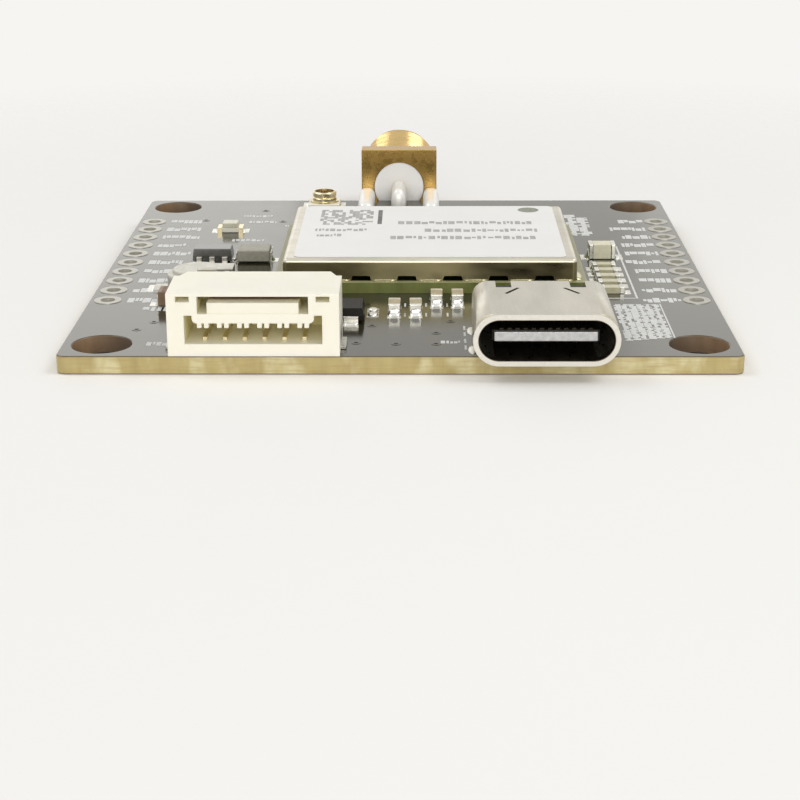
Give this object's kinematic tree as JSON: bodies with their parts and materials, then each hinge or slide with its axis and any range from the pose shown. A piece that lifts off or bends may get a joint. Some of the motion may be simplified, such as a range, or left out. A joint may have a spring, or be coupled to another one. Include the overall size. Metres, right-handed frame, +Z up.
{
  "type": "satellite positioning module",
  "caption": "Square circuit board with a shielded satellite receiver, a wire socket and a USB socket on one edge, a threaded antenna socket on the opposite edge and rows of header holes.",
  "frame": {"origin": "centre of the four mounting holes, on the underside of the circuit board", "axes": "+X to the right, +Y from the edge with the wire and USB sockets to the edge with the antenna socket, +Z up out of the populated face"},
  "size_m": [0.0432, 0.0547, 0.0063],
  "materials": {
    "mask": "gloss black solder mask over tan glass-fibre board",
    "tin": "satin tin plating",
    "ivory": "satin ivory nylon",
    "steel": "satin nickel-plated steel",
    "black_plastic": "matt black moulding",
    "gold": "gold plating",
    "ptfe": "waxy white insulator",
    "solder": "bright solder",
    "green_board": "green solder mask",
    "shield": "satin tinned sheet",
    "label": "matt white film with plain grey print",
    "ceramic_tan": "fired tan ceramic",
    "ceramic_pale": "pale ceramic",
    "ferrite": "pressed grey ferrite",
    "tantalum": "brown resin",
    "lens": "cloudy resin lens"
  },
  "bodies": {
    "root": {"circuit_board": "mask", "header_eyelets_left": "tin", "header_eyelets_right": "tin", "data_socket_anchors": "tin", "diode_leads": "tin", "regulator_leads": "tin", "inductor_terminals": "tin", "tantalum_terminals": "tin", "chip_capacitor_ends": "tin", "chip_resistor_ends": "tin", "bulk_capacitor_ends": "tin", "data_socket_housing": "ivory", "coax_socket_base": "ivory", "status_light_base": "ivory", "usb_shell": "steel", "usb_mid_plate": "steel", "backup_cell_can": "steel", "backup_cell_tabs": "steel", "receiver_oscillator": "steel", "usb_insulator": "black_plastic", "diode_body": "black_plastic", "regulator_body": "black_plastic", "receiver_chip": "black_plastic", "receiver_memory": "black_plastic", "receiver_amplifier": "black_plastic", "data_socket_contacts": "gold", "usb_contacts": "gold", "antenna_socket_body": "gold", "antenna_socket_pin": "gold", "coax_socket_ring": "gold", "coax_socket_pin": "gold", "status_light_ends": "gold", "antenna_socket_insulator": "ptfe", "receiver_filters": "ptfe", "antenna_solder": "solder", "receiver_board": "green_board", "receiver_shield": "shield", "receiver_label": "label", "chip_capacitor_1": "ceramic_tan", "chip_capacitor_2": "ceramic_tan", "chip_capacitor_3": "ceramic_tan", "chip_capacitor_4": "ceramic_tan", "bulk_capacitor_body": "ceramic_tan", "chip_resistor_1": "ceramic_pale", "chip_resistor_2": "ceramic_pale", "chip_resistor_3": "ceramic_pale", "chip_resistor_4": "ceramic_pale", "chip_resistor_5": "ceramic_pale", "inductor_body": "ferrite", "tantalum_body": "tantalum", "status_light_lens": "lens"}
  },
  "joints": []
}
